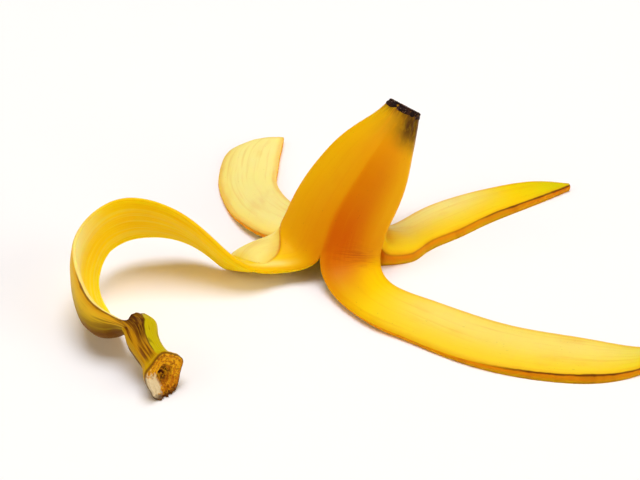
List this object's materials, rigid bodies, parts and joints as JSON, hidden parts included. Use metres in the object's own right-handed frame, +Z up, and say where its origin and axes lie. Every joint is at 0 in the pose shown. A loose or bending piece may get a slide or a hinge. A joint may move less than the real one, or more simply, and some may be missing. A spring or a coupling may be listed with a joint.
{
  "type": "banana peel",
  "caption": "Discarded banana peel standing on its opened strips, closed blossom end upwards, with the stem still on the one strip that arches up and curls round.",
  "frame": {"origin": "centre of the bounding box at floor level", "axes": "+Z up from the floor, +X towards the flat strips on the side away from the stem, -Y towards the side on which the stem end lies"},
  "size_m": [0.2104, 0.168, 0.0587],
  "materials": {
    "peel": "satin"
  },
  "bodies": {
    "root": {"peel": "peel"}
  },
  "joints": []
}
